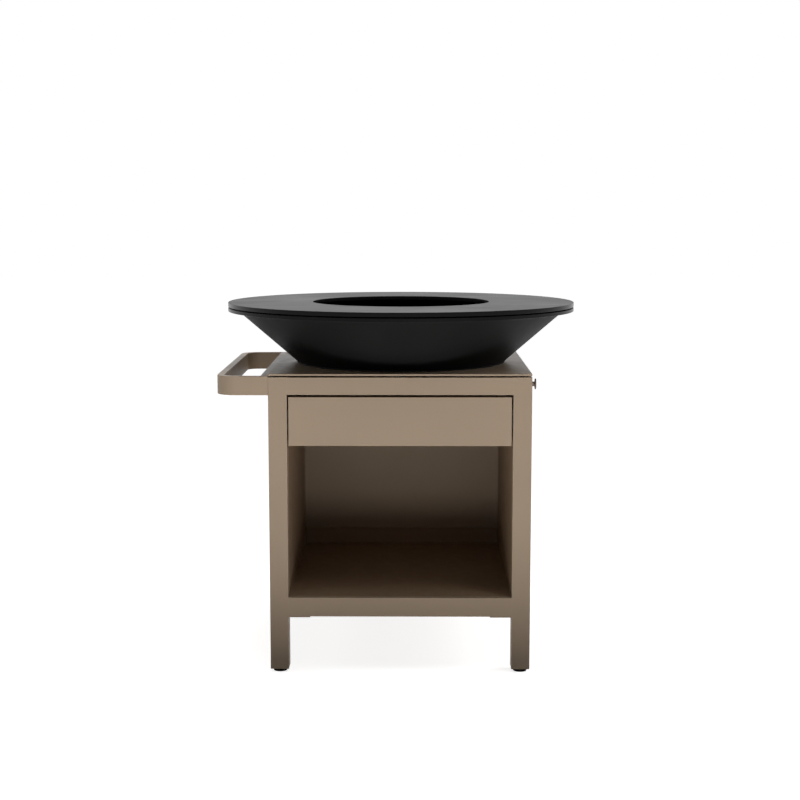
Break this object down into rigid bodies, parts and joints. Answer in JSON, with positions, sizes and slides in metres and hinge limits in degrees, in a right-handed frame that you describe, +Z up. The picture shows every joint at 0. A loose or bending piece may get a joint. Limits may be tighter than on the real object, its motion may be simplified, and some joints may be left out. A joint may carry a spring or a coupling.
{
  "type": "plancha module",
  "caption": "Square-tube outdoor kitchen cabinet with a drawer, open storage bay, side handle and hook knobs, topped by a conical fire bowl that carries a lift-off ring-shaped griddle plate.",
  "frame": {"origin": "on the ground under the middle of the cabinet and of the griddle plate", "axes": "+Z up, the drawer front faces -Y, the side handle points to -X"},
  "size_m": [0.8399, 0.84, 0.843],
  "materials": {
    "frame_paint": "satin",
    "knob_coat": "satin",
    "bowl_coat": "matte",
    "griddle_steel": "satin",
    "foot_plastic": "matte",
    "spacer_rubber": "matte",
    "zinc_steel": "satin"
  },
  "bodies": {
    "cabinet": {"back_panel": "frame_paint", "bowl_base_plate": "bowl_coat", "bowl_bolts": "bowl_coat", "bowl_nuts": "zinc_steel", "bowl_rim": "bowl_coat", "bracket_screws": "zinc_steel", "corner_gussets": "frame_paint", "fire_bowl": "bowl_coat", "front_left_post": "frame_paint", "front_right_post": "frame_paint", "handle_bolts": "zinc_steel", "handle_mount_bar": "frame_paint", "handle_nuts": "zinc_steel", "heat_shield": "zinc_steel", "hook_knobs": "knob_coat", "knob_nuts": "zinc_steel", "left_liner": "frame_paint", "left_side_panel": "frame_paint", "left_slide_outer": "zinc_steel", "lower_front_rail": "frame_paint", "lower_left_rail": "frame_paint", "lower_rear_rail": "frame_paint", "lower_right_rail": "frame_paint", "plate_pads": "bowl_coat", "post_plugs": "foot_plastic", "rear_left_post": "frame_paint", "rear_right_post": "frame_paint", "right_liner": "frame_paint", "right_side_panel": "frame_paint", "right_slide_outer": "zinc_steel", "side_handle": "frame_paint", "storage_floor": "frame_paint", "top_panel": "frame_paint", "top_panel_brackets": "frame_paint", "top_panel_spacers": "spacer_rubber", "upper_front_rail": "frame_paint", "upper_left_rail": "frame_paint", "upper_rear_rail": "frame_paint", "upper_right_rail": "frame_paint"},
    "drawer": {"drawer_front": "frame_paint", "drawer_box": "frame_paint", "drawer_front_screws": "zinc_steel", "slide_screws": "zinc_steel", "left_slide_inner": "zinc_steel", "right_slide_inner": "zinc_steel"},
    "slide_carriage": {"left_slide_middle": "zinc_steel", "right_slide_middle": "zinc_steel", "slide_ball_cages": "zinc_steel"},
    "griddle": {"plancha_plate": "griddle_steel", "plate_lugs": "griddle_steel"},
    "front_left_leveller": {"front_left_foot": "foot_plastic"},
    "front_right_leveller": {"front_right_foot": "foot_plastic"},
    "rear_left_leveller": {"rear_left_foot": "foot_plastic"},
    "rear_right_leveller": {"rear_right_foot": "foot_plastic"}
  },
  "joints": [
    {"name": "drawer_slide", "type": "slide", "parent": "cabinet", "child": "drawer", "axis": [0, -1, 0], "range_m": [0, 0.45]},
    {"name": "slide_carriage_travel", "type": "slide", "parent": "cabinet", "child": "slide_carriage", "axis": [0, -1, 0], "range_m": [0, 0.225]},
    {"name": "griddle_lift", "type": "slide", "parent": "cabinet", "child": "griddle", "axis": [0, 0, 1], "range_m": [0, 0.25]},
    {"name": "front_left_foot_travel", "type": "slide", "parent": "cabinet", "child": "front_left_leveller", "axis": [0, 0, -1], "range_m": [0, 0.015]},
    {"name": "front_right_foot_travel", "type": "slide", "parent": "cabinet", "child": "front_right_leveller", "axis": [0, 0, -1], "range_m": [0, 0.015]},
    {"name": "rear_left_foot_travel", "type": "slide", "parent": "cabinet", "child": "rear_left_leveller", "axis": [0, 0, -1], "range_m": [0, 0.015]},
    {"name": "rear_right_foot_travel", "type": "slide", "parent": "cabinet", "child": "rear_right_leveller", "axis": [0, 0, -1], "range_m": [0, 0.015]}
  ],
  "couplings": [
    {"joint": "slide_carriage_travel", "follows": "drawer_slide", "ratio": 0.5}
  ]
}
